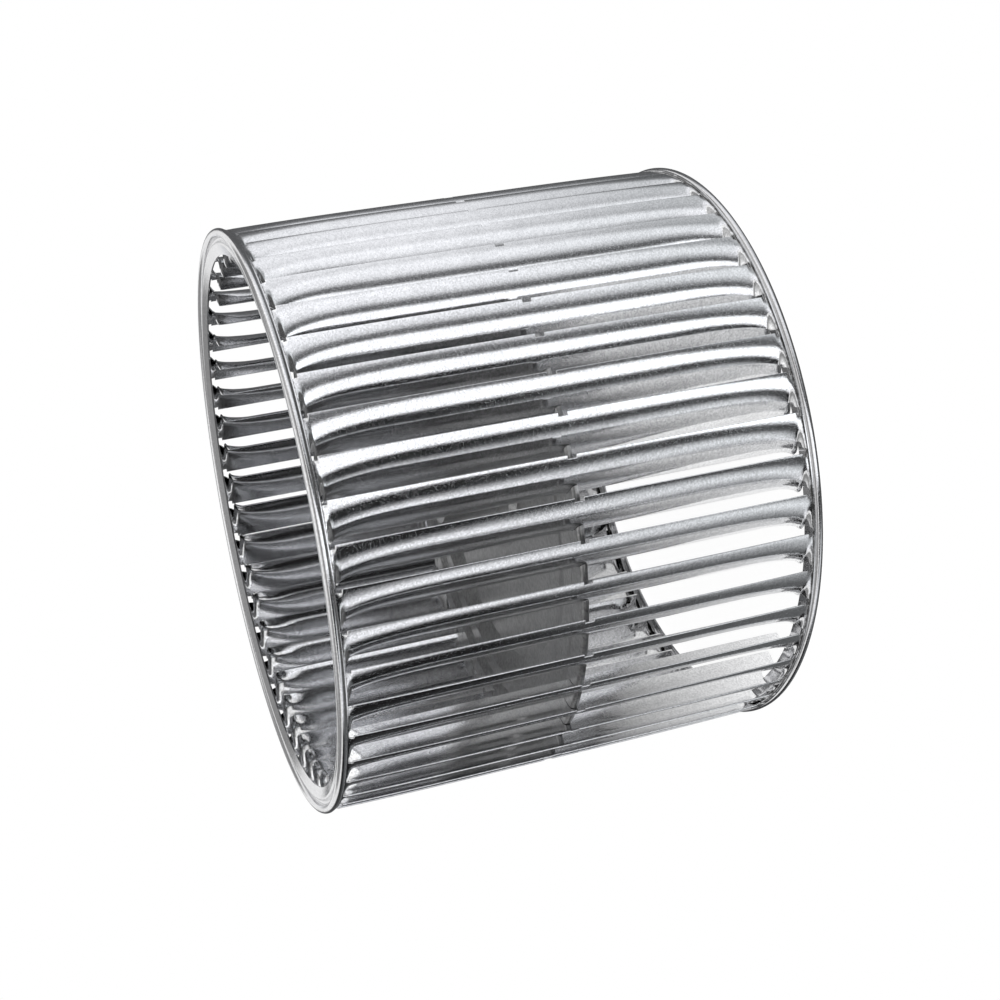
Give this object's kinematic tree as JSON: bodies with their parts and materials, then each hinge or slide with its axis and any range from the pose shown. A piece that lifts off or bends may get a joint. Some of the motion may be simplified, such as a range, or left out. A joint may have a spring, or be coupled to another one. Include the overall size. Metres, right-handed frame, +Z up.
{
  "type": "blower wheel",
  "caption": "Double-inlet blower wheel: forward-curved blades in a galvanised strip, crimped into end rings and carried by a dished centre disc with a bored hub and set screw.",
  "frame": {"origin": "on the wheel's axis, in the plane of the lower end ring's crest, on which it stands", "axes": "+Z up along the wheel's axis, from the lower end ring to the upper one; +X through the set screw"},
  "size_m": [0.254, 0.254, 0.203],
  "materials": {
    "end_ring": "bright galvanised sheet",
    "blade_sheet": "galvanised sheet with fine spangle",
    "disc_sheet": "galvanised sheet with fine spangle",
    "hub_steel": "turned and zinc plated",
    "screw_steel": "black oxide"
  },
  "bodies": {
    "root": {"top_end_ring": "end_ring", "bottom_end_ring": "end_ring", "blade_strip": "blade_sheet", "centre_disc": "disc_sheet", "hub": "hub_steel", "set_screw": "screw_steel"}
  },
  "joints": []
}
